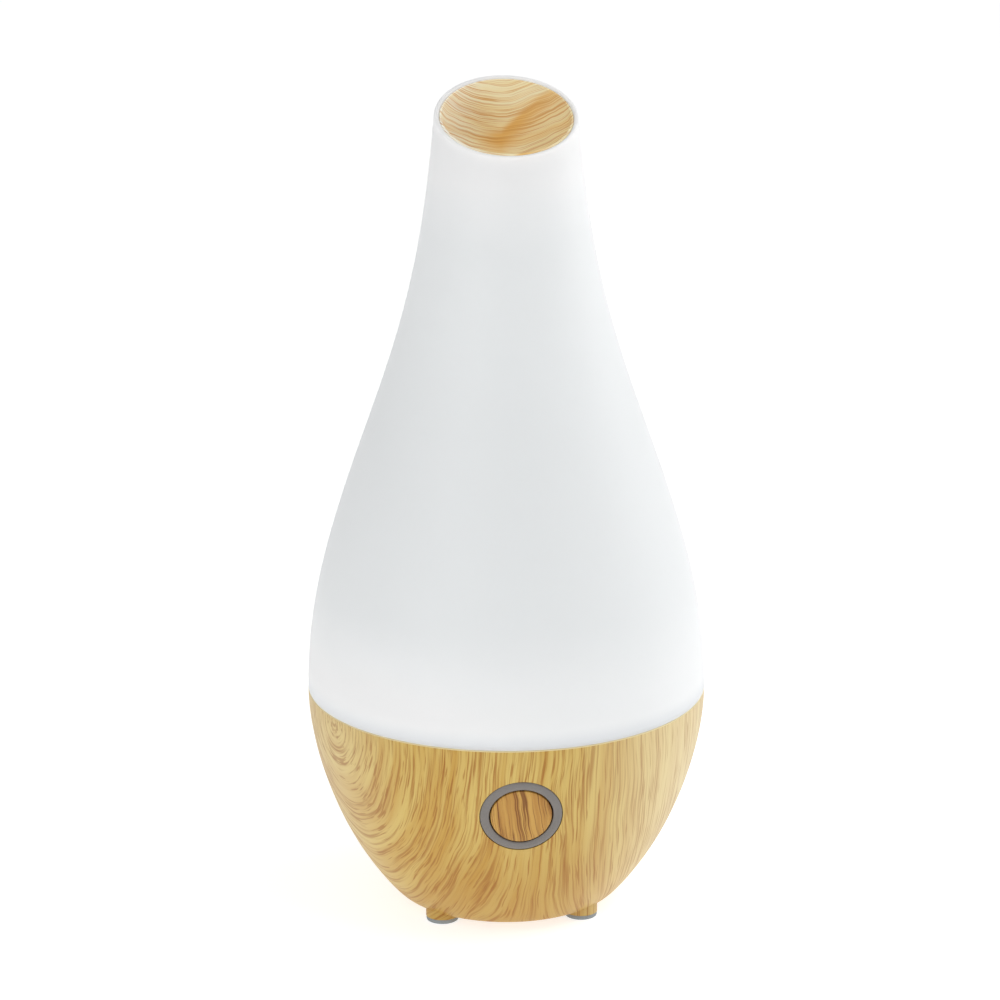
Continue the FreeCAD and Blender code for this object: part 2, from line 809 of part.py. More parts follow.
def make_transducer():
    """Rubber seal that grips a steel plate with its ceramic disc, pressed up by a clamp ring."""
    seal = turned([
        ("line", [
            ("seal_bore", "seal_bottom"),
            ("seal_radius", "seal_bottom"),
            ("seal_radius", "seal_top"),
            ("seal_bore", "seal_top"),
            ("seal_bore", "plate_level + plate_thickness"),
            ("plate_radius", "plate_level + plate_thickness"),
            ("plate_radius", "plate_level"),
            ("seal_bore", "plate_level"),
        ]),
    ])
    piece("transducer_seal", seal)
    piece("transducer_plate", cylinder("plate_radius", "plate_thickness", (0, 0, "plate_level")))
    piece("piezo_element",
          cylinder("piezo_radius", "piezo_thickness", (0, 0, "plate_level - piezo_thickness")))


def make_transducer_clamp():
    places = ring_places(CLAMP_SCREWS, "clamp_screw_reach", "clamp_bottom", 90)
    solid = fuse([cylinder("clamp_radius", "clamp_thickness", (0, 0, "clamp_bottom"))]
                 + [cylinder("clamp_lug_radius", "clamp_thickness", at) for at in places])
    holes = [cylinder("clamp_bore", "clamp_thickness", (0, 0, "clamp_bottom"))]
    holes += [cylinder("clamp_screw_hole", "clamp_thickness", at) for at in places]
    piece("transducer_clamp", cut(solid, holes))
    screws = [screw("clamp_head_radius", "clamp_head_height", "clamp_screw_radius", "clamp_screw_length", at)
              for at in places]
    piece("clamp_screws", group(screws))


# ---------------------------------------------------------------- circuit boards

def standoff_places(level):
    """Three screw posts that carry the main board: left, right and front."""
    return [("-standoff_reach", 0, level), ("standoff_reach", 0, level), (0, "-standoff_reach", level)]


def make_led_ring():
    board = tube("led_board_radius", "led_board_bore", "led_board_thickness", (0, 0, "led_board_level"))
    piece("led_board", board)
    chips = []
    for index in range(LED_CHIPS):
        angle = 360 / LED_CHIPS * index
        corner = (f"led_reach * cos({angle}) - led_width / 2 * (cos({angle}) - sin({angle}))",
                  f"led_reach * sin({angle}) - led_width / 2 * (sin({angle}) + cos({angle}))",
                  "led_board_level + led_board_thickness")
        chips.append(block("led_width", "led_width", "led_height", corner,
                           Rotation(Vector(0, 0, 1), angle)))
    piece("led_chips", group(chips))


def make_main_board():
    """Round board with a straight back edge, which leaves room for the air on its way to the duct."""
    disc = cylinder("board_radius", "board_thickness", (0, 0, "board_level"))
    holes = [block("2 * board_radius", "board_radius", "board_thickness",
                   ("-board_radius", "board_back", "board_level"))]
    holes += [cylinder("board_boss_hole", "board_thickness", at) for at in leg_places("board_level")]
    holes += [cylinder("board_screw_hole", "board_thickness", at) for at in standoff_places("board_level")]
    piece("main_board", cut(disc, holes))
    screws = [screw("board_head_radius", "board_head_height", "board_screw_radius", "board_screw_length", at)
              for at in standoff_places("board_level")]
    piece("board_screws", group(screws))


def make_board_parts():
    top = "board_level + board_thickness"
    foot = block("fin_pitch * 3 + sink_thickness", "sink_length", "sink_thickness",
                 ("sink_reach", "-sink_length / 2", top))
    fins = [block("sink_thickness", "sink_length", "part_height",
                  (f"sink_reach + {fin} * fin_pitch", "-sink_length / 2", top))
            for fin in range(SINK_FINS)]
    piece("heat_sink", fuse([foot] + fins))
    transistor = block("transistor_width", "transistor_length", "transistor_height",
                       ("sink_reach - transistor_gap - transistor_width", "-transistor_length / 2", top))
    piece("power_transistor", transistor)
    coils = [tube("coil_radius", "coil_radius / 3", "part_height", (x, y, top)) for x, y in COIL_PLACES]
    piece("inductor_coils", group(coils))
    cans = [cylinder("capacitor_radius", "part_height", (x, y, top)) for x, y in CAPACITOR_PLACES]
    piece("capacitors", group(cans))
    legs = [block("chip_leg", "chip_width + 2 * chip_leg_reach", "chip_leg",
                  (f"({leg} - {CHIP_LEGS - 1} / 2) * chip_leg_pitch - chip_leg / 2 - chip_offset",
                   "chip_front - chip_leg_reach", top))
            for leg in range(CHIP_LEGS)]
    body = block("chip_length", "chip_width", "chip_height",
                 ("-chip_length / 2 - chip_offset", "chip_front", top))
    piece("controller_chip", fuse([body] + legs))


def make_connectors():
    """Lead sockets on the main board. Each opens towards the lead that plugs into it."""
    top = "board_level + board_thickness"
    sockets = []
    for x, y, opens_back in SOCKETS:
        sides = ["connector_width", "connector_depth"]
        if not opens_back:
            sides.reverse()
        corner = (f"{x} - {sides[0]} / 2", f"{y} - {sides[1]} / 2", top)
        sockets.append(block(*sides, "part_height", corner))
    piece("lead_connectors", group(sockets))


# ---------------------------------------------------------------- fan

def make_fan_frame():
    half = "fan_width / 2"
    body = doc.addObject("PartDesign::Body", "FanFrame")
    sketch = sketch_on(body, "XY_Plane", "fan_bottom")
    polygon(sketch, [(f"-{half}", f"-{half}"), (half, f"-{half}"), (half, half), (f"-{half}", half)])
    ring_outline(sketch, 0, 0, "fan_bore")
    for x, y in LEG_SIGNS.values():
        ring_outline(sketch, f"{x} * fan_hole_spread", f"{y} * fan_hole_spread", "fan_hole")
    pad(body, sketch, "fan_depth")
    arms = []
    for index in range(FAN_ARMS):
        angle = 360 / FAN_ARMS * index + 90
        corner = (f"spider_width / 2 * sin({angle})", f"-spider_width / 2 * cos({angle})", "fan_bottom")
        arms.append(block(f"fan_bore + {WELD}", "spider_width", "spider_thickness", corner,
                          Rotation(Vector(0, 0, 1), angle)))
    plate = cylinder("hub_plate_radius", "spider_thickness", (0, 0, "fan_bottom"))
    post = cylinder("bush_tube_radius", "bush_top - fan_bottom", (0, 0, "fan_bottom"))
    bore = cylinder("bush_radius", "bush_top", (0, 0, "fan_bottom + spider_thickness"))
    piece("fan_frame", cut(fuse([body, plate, post] + arms), [bore]))


def make_fan_bush():
    at = (0, 0, "fan_bottom + spider_thickness")
    piece("fan_bush", tube("bush_radius", "shaft_hole", "bush_top - fan_bottom - spider_thickness", at))


def make_fan_stator():
    """Coil pack: a ring on the bush post with four wound arms."""
    height = "stator_top - stator_bottom"
    at = (0, 0, "stator_bottom")
    ring = tube("stator_core_radius", "bush_tube_radius", height, at)
    arms = []
    for index in range(STATOR_ARMS):
        angle = 360 / STATOR_ARMS * index
        corner = (f"bush_tube_radius * cos({angle}) + stator_arm_width / 2 * sin({angle})",
                  f"bush_tube_radius * sin({angle}) - stator_arm_width / 2 * cos({angle})",
                  "stator_bottom")
        arms.append(block("stator_radius", "stator_arm_width", height, corner,
                          Rotation(Vector(0, 0, 1), angle)))
    limits = tube("stator_radius", "bush_tube_radius", height, at)
    piece("fan_stator", common(fuse([ring] + arms), limits))


def make_fan_rotor():
    """Hub cup that covers the coil pack, with seven slanted blades."""
    hub = doc.addObject("PartDesign::Body", "FanRotor")
    section = sketch_on(hub, "XZ_Plane")
    outline(section, [
        ("line", [
            ("magnet_radius", "rotor_bottom"),
            ("rotor_hub_radius", "rotor_bottom"),
            ("rotor_hub_radius", "rotor_top"),
            ("shaft_radius", "rotor_top"),
            ("shaft_radius", "rotor_top - rotor_cap"),
            ("magnet_radius", "rotor_top - rotor_cap"),
        ]),
    ])
    revolve(hub, section)
    middle = "(rotor_bottom + rotor_top) / 2"
    half_run = "blade_chord / 2 * cos(blade_pitch)"
    half_rise = "blade_chord / 2 * sin(blade_pitch)"
    blade = sketch_on(hub, "YZ_Plane", "rotor_hub_radius - blade_root")
    polygon(blade, [
        (f"-{half_run} - blade_thickness / 2", f"{middle} - {half_rise}"),
        (f"-{half_run} + blade_thickness / 2", f"{middle} - {half_rise}"),
        (f"{half_run} + blade_thickness / 2", f"{middle} + {half_rise}"),
        (f"{half_run} - blade_thickness / 2", f"{middle} + {half_rise}"),
    ])
    first_blade = pad(hub, blade, "blade_tip_radius - rotor_hub_radius + blade_root")
    repeat_about_axis(hub, first_blade, FAN_BLADES)
    inner_space = cylinder("magnet_radius", "rotor_top - rotor_cap - rotor_bottom", (0, 0, "rotor_bottom"))
    piece("fan_rotor", cut(hub, [inner_space]))
    magnet = tube("magnet_radius", "magnet_bore", "magnet_height",
                  (0, 0, "rotor_top - rotor_cap - magnet_height"))
    piece("rotor_magnet", magnet)
    piece("fan_shaft", cylinder("shaft_radius", "rotor_top - shaft_bottom", (0, 0, "shaft_bottom")))


def make_fan_screws():
    """Screws with their heads on top of the fan, driven down into the bowl's posts."""
    upside_down = Rotation(Vector(1, 0, 0), 180)
    screws = []
    for x, y in LEG_SIGNS.values():
        at = (f"{x} * fan_hole_spread", f"{y} * fan_hole_spread", "fan_bottom + fan_depth")
        screws.append(screw("fan_head_radius", "fan_head_height", "fan_screw_radius",
                            "fan_screw_length", at, upside_down))
    piece("fan_screws", group(screws))


# ---------------------------------------------------------------- power jack

def make_power_jack():
    """Barrel jack: a block with a round nose, a bore for the plug and a centre pin."""
    nose = cylinder("jack_barrel_radius", "jack_barrel_length",
                    (0, "jack_face - jack_barrel_length", "jack_level"), BACKWARDS)
    casing = block("jack_width", "jack_block_depth", "jack_below + jack_above",
                   ("-jack_width / 2", "jack_face - jack_barrel_length - jack_block_depth",
                    "jack_level - jack_below"))
    bore = cylinder("jack_bore", CLEAR, (0, "jack_face - jack_bore_depth", "jack_level"), BACKWARDS)
    piece("dc_jack", cut(fuse([casing, nose]), [bore]))
    piece("dc_jack_pin", cylinder("jack_pin_radius", "jack_pin_length",
                                  (0, "jack_face - jack_bore_depth", "jack_level"), BACKWARDS))


def make_jack_board():
    under = "jack_level - jack_below - jack_board_thickness"
    board = block("jack_board_width", "jack_board_depth", "jack_board_thickness",
                  ("-jack_board_width / 2", "jack_board_front", under))
    places = [(f"{side} * jack_post_spread", "jack_post_reach", under) for side in (-1, 1)]
    holes = [cylinder("jack_screw_hole", "jack_board_thickness", at) for at in places]
    piece("jack_board", cut(board, holes))
    upside_down = Rotation(Vector(1, 0, 0), 180)
    tops = [(x, y, f"{z} + jack_board_thickness") for x, y, z in places]
    screws = [screw("small_head_radius", "small_head_height", "jack_screw_radius",
                    "jack_screw_length", at, upside_down) for at in tops]
    piece("jack_board_screws", group(screws))


# ---------------------------------------------------------------- button

def make_button_ring():
    """Bezel that follows the bowl's surface, with a neck that passes through the wall."""
    turn = button_turn()
    face = common(cylinder("ring_radius", f"ring_shoulder + {CLEAR}", on_button_axis(-CLEAR), turn),
                  bowl_form("ring_proud"))
    neck = cylinder("ring_neck_radius", f"ring_back - ring_shoulder + {WELD}",
                    on_button_axis(f"ring_shoulder - {WELD}"), turn)
    bore = cylinder("ring_bore", f"2 * {CLEAR}", on_button_axis(-CLEAR), turn)
    piece("button_ring", cut(fuse([face, neck]), [bore]))


def make_button_cap():
    """Hollow cap with a flange that keeps it behind the ring, and a stem that meets the switch."""
    turn = button_turn()
    face = common(cylinder("cap_radius", f"cap_flange_back + {CLEAR}", on_button_axis(-CLEAR), turn),
                  bowl_form("-cap_recess"))
    flange = cylinder("cap_flange_radius", "cap_flange_back - cap_flange_front",
                      on_button_axis("cap_flange_front"), turn)
    hollow = cylinder("cap_hollow_radius", "cap_flange_back - cap_hollow_depth",
                      on_button_axis("cap_hollow_depth"), turn)
    stem = cylinder("cap_stem_radius", f"cap_stem_back - cap_hollow_depth + {WELD}",
                    on_button_axis(f"cap_hollow_depth - {WELD}"), turn)
    piece("button_cap", fuse([cut(fuse([face, flange]), [hollow]), stem]))


def make_switch():
    turn = button_turn()
    piece("switch_plunger", cylinder("plunger_radius", "plunger_back - plunger_front",
                                     on_button_axis("plunger_front"), turn))
    casing = square_on_axis("switch_width", "switch_width", "switch_front", "switch_back")
    hole = cylinder("switch_hole", f"switch_hole_back - switch_front + {PAST}",
                    on_button_axis(f"switch_front - {PAST}"), turn)
    piece("switch_body", cut(casing, [hole]))
    back = "switch_back + switch_board_thickness"
    board = square_on_axis("switch_board_width", "switch_board_height", "switch_back", back)
    holes = [cylinder("switch_screw_hole", "switch_board_thickness",
                      on_button_axis("switch_back", f"{side} * switch_post_spread"), turn)
             for side in (-1, 1)]
    piece("switch_board", cut(board, holes))
    outwards = turn.multiply(Rotation(Vector(1, 0, 0), 180))
    screws = [screw("small_head_radius", "small_head_height", "switch_screw_radius",
                    "switch_screw_length", on_button_axis(back, f"{side} * switch_post_spread"), outwards)
              for side in (-1, 1)]
    piece("switch_board_screws", group(screws))


def square_on_axis(width, height, front, back):
    """Block centred on the button's axis between two depths."""
    body = doc.addObject("PartDesign::Body", "OnAxis")
    sketch = sketch_on(body, "XY_Plane")
    across = f"{width} / 2"
    up = f"{height} / 2"
    polygon(sketch, [(f"-{across}", f"-{up}"), (across, f"-{up}"), (across, up), (f"-{across}", up)])
    pad(body, sketch, f"{back} - ({front})")
    return place(body, on_button_axis(front), button_turn())


# ---------------------------------------------------------------- leads

def lead_path(points, bend):
    """Straight runs through the points, joined by arcs that touch them."""
    edges = []
    start = points[0]
    for before, corner, after in zip(points, points[1:], points[2:]):
        inwards = (corner - before).normalize()
        outwards = (after - corner).normalize()
        half_turn = inwards.getAngle(outwards) / 2
        setback = bend * math.tan(half_turn)
        middle = corner + (outwards - inwards).normalize() * (bend / math.cos(half_turn) - bend)
        arc_start = corner - inwards * setback
        arc_end = corner + outwards * setback
        edges.append(Part.LineSegment(start, arc_start).toShape())
        edges.append(Part.Arc(arc_start, middle, arc_end).toShape())
        start = arc_end
    edges.append(Part.LineSegment(start, points[-1]).toShape())
    return Part.Wire(edges)


def make_lead(label, places):
    """Round lead swept along its route."""
    points = [Vector(*(size(value) for value in at)) for at in places]
    path = lead_path(points, size("lead_bend"))
    section = Part.Wire(Part.Circle(points[0], points[1] - points[0], size("lead_radius")).toShape())
    thing = doc.addObject("Part::Feature", "Lead")
    thing.Shape = path.makePipeShell([section], True, False)
    thing.Placement = Placement()
    return piece(label, thing)


def make_leads():
    """Every lead drops or climbs to the sockets' own level and then runs straight into one of them."""
    level = "board_level + board_thickness + lead_height"
    fan_socket, power_socket, led_socket, disc_socket, switch_socket = SOCKETS
    half = "connector_depth / 2"
    back = f"{power_socket[1]} + {half}"
    make_lead("power_lead", [(power_socket[0], "lead_back_run", "jack_level - jack_below"),
                             (power_socket[0], "lead_back_run", level),
                             (power_socket[0], back, level)])
    make_lead("fan_lead", [(fan_socket[0], "fan_width / 2", "fan_lead_level"),
                           (fan_socket[0], "lead_back_run", "fan_lead_level"),
                           (fan_socket[0], "lead_back_run", level),
                           (fan_socket[0], back, level)])
    make_lead("led_lead", [("-led_reach", led_socket[1], "led_board_level"),
                           ("-led_reach", led_socket[1], level),
                           (f"{led_socket[0]} - {half}", led_socket[1], level)])
    make_lead("transducer_lead", [(disc_socket[0], "-disc_lead_reach", "plate_level - piezo_thickness"),
                                  (disc_socket[0], "-disc_lead_reach", level),
                                  (disc_socket[0], f"{disc_socket[1]} + {half}", level)])
    make_lead("switch_lead", [(switch_socket[0], "-switch_lead_reach", "switch_lead_level"),
                              (switch_socket[0], "-switch_lead_reach", level),
                              (switch_socket[0], f"{switch_socket[1]} - {half}", level)])


# ---------------------------------------------------------------- build, check, write

def check_document():
    """Stop if any object failed, or any sub-part is empty or broken."""
    for thing in doc.Objects:
        if "Invalid" in thing.State or "Error" in thing.State:
            raise RuntimeError(f"{thing.Name} ({thing.Label}) failed: {thing.State}")
    for thing in pieces:
        if thing.Shape.isNull() or not thing.Shape.isValid() or not thing.Shape.Solids:
            raise RuntimeError(f"{thing.Label} has no valid solid")


def write_pieces():
    os.makedirs("parts", exist_ok=True)
    for thing in pieces:
        thing.Shape.exportStep(f"parts/{thing.Label}.step")


def build():
    fill_sheet()
    make_base_bowl()
    make_foot_pads()
    make_case_screws()
    make_water_tank()
    make_tank_gasket()
    make_transducer()
    make_transducer_clamp()
    make_led_ring()
    make_main_board()
    make_board_parts()
    make_connectors()
    make_fan_frame()
    make_fan_bush()
    make_fan_stator()
    make_fan_rotor()
    make_fan_screws()
    make_power_jack()
    make_jack_board()
    make_button_ring()
    make_button_cap()
    make_switch()
    make_leads()
    make_cover_shell()
    make_mouth_funnel()
    make_mist_guide()
    doc.recompute()
    check_document()
    write_pieces()


build()
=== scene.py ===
import bmesh
import bpy
import math
from mathutils import Matrix, Vector


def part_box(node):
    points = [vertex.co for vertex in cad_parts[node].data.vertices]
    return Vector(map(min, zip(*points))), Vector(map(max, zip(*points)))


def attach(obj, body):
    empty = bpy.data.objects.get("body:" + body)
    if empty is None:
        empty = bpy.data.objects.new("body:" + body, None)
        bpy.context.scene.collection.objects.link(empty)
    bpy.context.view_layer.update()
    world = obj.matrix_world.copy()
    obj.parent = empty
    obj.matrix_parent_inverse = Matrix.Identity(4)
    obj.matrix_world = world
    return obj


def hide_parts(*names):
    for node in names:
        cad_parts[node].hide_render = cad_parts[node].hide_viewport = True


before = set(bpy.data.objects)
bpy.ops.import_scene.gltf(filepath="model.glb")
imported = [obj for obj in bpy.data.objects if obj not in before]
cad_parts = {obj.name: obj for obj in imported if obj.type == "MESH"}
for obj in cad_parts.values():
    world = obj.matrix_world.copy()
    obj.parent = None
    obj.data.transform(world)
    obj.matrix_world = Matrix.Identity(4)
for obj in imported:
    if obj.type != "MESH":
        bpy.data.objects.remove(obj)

# Essential oil diffuser. Metres, Z up, Z = 0 is the table, the vase's axis is the Z axis and
# the button faces -Y.

MM = 0.001
UP = Vector((0, 0, 1))
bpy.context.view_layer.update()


# ---------------------------------------------------------------- measures

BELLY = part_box("base_bowl")[1].x                      # largest radius, at the seam
BOWL_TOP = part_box("base_bowl")[1].z
COVER_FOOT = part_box("cover_shell")[0].z
PAD_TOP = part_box("base_bowl")[0].z

# Control points (radius, height) of the bowl's outer curve, from the toe to the seam
BOWL_CURVE = [(25.6 * MM, 1.9 * MM), (27.6 * MM, 2.2 * MM), (30.0 * MM, 3.9 * MM),
              (43.6 * MM, 22.4 * MM), (BELLY, 46.4 * MM), (BELLY, BOWL_TOP - 0.3 * MM)]

# Control points (radius, height) of the cover's outer curve, from the seam to the tip
COVER_CURVE = [(BELLY, COVER_FOOT), (BELLY, 74.2 * MM), (43.8 * MM, 102.2 * MM),
               (32.6 * MM, 132.2 * MM), (23.0 * MM, 162.2 * MM), (18.95 * MM, 189.2 * MM),
               (17.25 * MM, 212.0 * MM)]
COVER_WALL = 1.8 * MM
COVER_LIP = 1.3 * MM

# Control points (radius, height) of the funnel's inner curve, from its tail to its brim
FUNNEL_CURVE = [(5.5 * MM, 176.0 * MM), (5.5 * MM, 182.5 * MM), (8.5 * MM, 187.0 * MM),
                (16.4 * MM, 190.0 * MM), (15.8 * MM, 201.0 * MM), (14.7 * MM, 212.0 * MM)]
FUNNEL_WALL = 1.1 * MM
FUNNEL_THINNING = [0, 0, 0, 0, -0.5 * MM, -0.8 * MM]  # its wall runs out to a thin edge at the brim

MOUTH_TILT = math.radians(20.3)
MOUTH_LEVEL = 205.0 * MM                              # where the lip's plane crosses the axis
FUNNEL_LEVEL = 204.6 * MM                             # the same for the funnel's brim
MOUTH_NORMAL = Vector((0, -math.sin(MOUTH_TILT), math.cos(MOUTH_TILT)))

BUTTON_TILT = math.radians(15.0)
BUTTON_CENTRE = Vector((0, -47.78 * MM, 38.7 * MM))
BUTTON_INWARDS = Vector((0, math.cos(BUTTON_TILT), math.sin(BUTTON_TILT)))
BUTTON_UP = Vector((0, -math.sin(BUTTON_TILT), math.cos(BUTTON_TILT)))
RING_RADIUS = 10.25 * MM
RING_BORE = 7.95 * MM
CAP_RADIUS = 7.6 * MM

NEAR_AXIS = 0.02 * MM                                 # where a turned profile starts and ends
COVER_STEPS = 400                                     # steps along each smooth outline
FUNNEL_STEPS = 300
BOWL_STEPS = 200
SAME_POINT = 1e-7                                     # points closer than this are one
NO_LENGTH = 1e-12                                     # stands in for an empty stretch in a division
BEVEL = 0.3                                           # share of a broken edge left at its middle point


# ---------------------------------------------------------------- curves and meshes

def spline(poles, steps):
    """Points along the clamped cubic curve through its control points."""
    degree = 3
    spans = len(poles) - degree
    knots = [0] * degree + list(range(spans + 1)) + [spans] * degree
    points = []
    for index in range(steps + 1):
        t = spans * index / steps
        span = min(int(t), spans - 1) + degree
        level = [Vector(poles[span - degree + j]) for j in range(degree + 1)]
        for rise in range(1, degree + 1):
            for j in range(degree, rise - 1, -1):
                left = knots[span - degree + j]
                right = knots[j + 1 + span - rise]
                share = (t - left) / (right - left)
                level[j] = level[j - 1] * (1 - share) + level[j] * share
        points.append(level[degree])
    return points


def inset(poles, amounts):
    """Control points moved towards the axis by a list of amounts."""
    return [(radius - amount, height) for (radius, height), amount in zip(poles, amounts)]


def radius_at(points, height):
    """Radius of a profile at a height."""
    for low, high in zip(points, points[1:]):
        if low.y <= height <= high.y:
            share = (height - low.y) / (high.y - low.y)
            return low.x + (high.x - low.x) * share
    return points[0].x if height < points[0].y else points[-1].x


def mesh_piece(name, verts, faces, sharp_angle=40):
    """New mesh object with outward normals, smooth except across sharp edges."""
    mesh = bpy.data.meshes.new(name)
    mesh.from_pydata([tuple(v) for v in verts], [], faces)
    shape = bmesh.new()
    shape.from_mesh(mesh)
    bmesh.ops.remove_doubles(shape, verts=shape.verts, dist=SAME_POINT)
    bmesh.ops.recalc_face_normals(shape, faces=shape.faces)
    shape.to_mesh(mesh)
    shape.free()
    mesh.polygons.foreach_set("use_smooth", [True] * len(mesh.polygons))
    mesh.set_sharp_from_angle(angle=math.radians(sharp_angle))
    thing = bpy.data.objects.new(name, mesh)
    bpy.context.scene.collection.objects.link(thing)
    return thing


def loops_to_faces(rows, around, closed):
    """Quads between rows of points that each go once round. Closed joins the last row to the first."""
    faces = []
    count = rows if closed else rows - 1
    for row in range(count):
        after = (row + 1) % rows
        for step in range(around):
            beside = (step + 1) % around
            faces.append((row * around + step, row * around + beside,
                          after * around + beside, after * around + step))
    return faces


def swept_ring(name, section_at, around, closed=True, sharp_angle=40):
    """Solid made from a section that is worked out anew at every angle round an axis."""
    columns = [section_at(2 * math.pi * step / around) for step in range(around)]
    rows = len(columns[0])
    verts = [columns[step][row] for row in range(rows) for step in range(around)]
    faces = loops_to_faces(rows, around, closed)
    if not closed:
        faces.append(tuple(range(around)))
        faces.append(tuple((rows - 1) * around + step for step in range(around)))
    return mesh_piece(name, verts, faces, sharp_angle)


def lathe(name, profile, around, matrix):
    """Solid turned about Z, then placed by a matrix.

    Its profile of (radius, height) starts and ends near the axis."""
    def section(angle):
        return [matrix @ Vector((r * math.cos(angle), r * math.sin(angle), z)) for r, z in profile]
    return swept_ring(name, section, around, closed=False)


def rounded(corners):
    """Profile with each corner (x, y, radius) rounded off."""
    steps = 4
    longest = 0.45                                    # share of a side that one corner may take
    points = []
    total = len(corners)
    for index, corner in enumerate(corners):
        here = Vector(corner[:2])
        before = Vector(corners[index - 1][:2]) - here
        after = Vector(corners[(index + 1) % total][:2]) - here
        reach = min(corner[2], before.length * longest, after.length * longest)
        if reach == 0:
            points.append(here)
            continue
        start = here + before.normalized() * reach
        end = here + after.normalized() * reach
        for step in range(steps + 1):
            t = step / steps
            points.append(start * (1 - t) ** 2 + here * 2 * t * (1 - t) + end * t ** 2)
    return points


# ---------------------------------------------------------------- shader helper

class Shader:
    """Builds one node material. Every input can be a number, a colour or another node's output."""

    def __init__(self, name):
        self.material = bpy.data.materials.new(name)
        self.material.use_nodes = True
        self.tree = self.material.node_tree
        self.tree.nodes.clear()
        self.surface = self.node("ShaderNodeBsdfPrincipled")
        output = self.node("ShaderNodeOutputMaterial")
        self.tree.links.new(self.surface.outputs[0], output.inputs["Surface"])

    def node(self, kind, **settings):
        made = self.tree.nodes.new(kind)
        for key, value in settings.items():
            setattr(made, key, value)
        return made

    def feed(self, socket, value):
        if isinstance(value, bpy.types.NodeSocket):
            self.tree.links.new(value, socket)
        else:
            socket.default_value = value

    def math(self, operation, *values):
        made = self.node("ShaderNodeMath", operation=operation)
        for socket, value in zip(made.inputs, values):
            self.feed(socket, value)
        return made.outputs[0]

    def position(self):
        return self.node("ShaderNodeTexCoord").outputs["Object"]

    def split(self, vector):
        made = self.node("ShaderNodeSeparateXYZ")
        self.feed(made.inputs[0], vector)
        return made.outputs[0], made.outputs[1], made.outputs[2]

    def join(self, x, y, z):
        made = self.node("ShaderNodeCombineXYZ")
        for socket, value in zip(made.inputs, (x, y, z)):
            self.feed(socket, value)
        return made.outputs[0]

    def noise(self, vector, scale, detail, roughness=0.5):
        made = self.node("ShaderNodeTexNoise")
        self.feed(made.inputs["Vector"], vector)
        self.feed(made.inputs["Scale"], scale)
        self.feed(made.inputs["Detail"], detail)
        self.feed(made.inputs["Roughness"], roughness)
        return made.outputs[0]

    def spread(self, value, low, high, to_low=0.0, to_high=1.0):
        """Map a range smoothly onto another, held at its ends."""
        made = self.node("ShaderNodeMapRange", interpolation_type="SMOOTHSTEP", clamp=True)
        for socket, number in zip(made.inputs, (value, low, high, to_low, to_high)):
            self.feed(socket, number)
        return made.outputs[0]

    def mix(self, share, first, second):
        made = self.node("ShaderNodeMix", data_type="RGBA")
        self.feed(made.inputs[0], share)
        self.feed(made.inputs[6], first)
        self.feed(made.inputs[7], second)
        return made.outputs[2]

    def bump(self, height, distance, strength):
        made = self.node("ShaderNodeBump")
        self.feed(made.inputs["Strength"], strength)
        self.feed(made.inputs["Distance"], distance)
        self.feed(made.inputs["Height"], height)
        return made.outputs[0]

    def finish(self, **sockets):
        """Set the surface's own sockets, named with underscores for spaces."""
        for name, value in sockets.items():
            self.feed(self.surface.inputs[name.replace("_", " ")], value)
        return self.material


def colour(red, green, blue):
    """Linear colour from eight-bit display values."""
    def linear(value):
        share = value / 255
        return share / 12.92 if share <= 0.04045 else ((share + 0.055) / 1.055) ** 2.4
    return (linear(red), linear(green), linear(blue), 1.0)


# ---------------------------------------------------------------- wood print

WOOD_CREAM = colour(208, 180, 100)
WOOD_GOLD = colour(192, 150, 64)
WOOD_LINE = colour(156, 98, 24)
# painted sheen colour, towards which the bowl's sides fade
WOOD_PAINTED_SHEEN = colour(228, 212, 168)
# painted shade colour, low down in front of the bowl
WOOD_PAINTED_SHADE = colour(172, 124, 38)
RIM_CREAM = colour(230, 214, 166)


def grain_noise(shader, across, along, wide, length, offset, detail=1.0):
    """Noise drawn out along the grain, from about 0.25 to 0.75. The offset makes each one its own."""
    place = shader.join(shader.math("DIVIDE", across, wide), shader.math("DIVIDE", along, length),
                        offset)
    return shader.noise(place, 1.0, detail)


def wood_colour(shader, across, along, cream, gold, line, contrast=1.0):
    """Colour and line depth of an oak print, from the distances across and along its grain."""
    band = grain_noise(shader, across, along, wide=5.0 * MM, length=80 * MM, offset=3.1)
    streak = grain_noise(shader, across, along, wide=1.4 * MM, length=45 * MM, offset=7.7, detail=2.0)
    thread = grain_noise(shader, across, along, wide=0.5 * MM, length=26 * MM, offset=1.3)
    dash = grain_noise(shader, across, along, wide=0.42 * MM, length=12 * MM, offset=5.9)
    golden = shader.math("ADD", shader.spread(band, 0.40, 0.62, 0.0, 0.6),
                         shader.spread(streak, 0.40, 0.65, 0.0, 0.4))
    threads = shader.spread(thread, 0.45, 0.75, 0.0, 0.7 * contrast)
    gathered = shader.math("ADD", dash, shader.math("MULTIPLY", streak, 0.6))
    dashes = shader.spread(gathered, 0.88, 1.0, 0.0, 0.7 * contrast)
    shown = shader.mix(golden, cream, gold)
    shown = shader.mix(threads, shown, line)
    shown = shader.mix(dashes, shown, line)
    return shown, shader.math("MAXIMUM", dashes, threads)


def wood_finish(shader, shown, grooves, roughness=0.42):
    """Lacquered print: lines lie a little deeper and duller than the rest."""
    normal = shader.bump(grooves, distance=0.03 * MM, strength=-0.35)
    gloss = shader.math("ADD", roughness, shader.math("MULTIPLY", grooves, 0.12))
    return shader.finish(Base_Color=shown, Roughness=gloss, Normal=normal, IOR=1.45)


def swayed(shader, across, place, broad, broad_size, fine, fine_size):
    """Distance across the grain, pushed about so that the lines wander."""
    for amount, size in ((broad, broad_size), (fine, fine_size)):
        wander = shader.math("SUBTRACT", shader.noise(place, 1 / size, 1.0), 0.5)
        across = shader.math("ADD", across, shader.math("MULTIPLY", wander, amount))
    return across


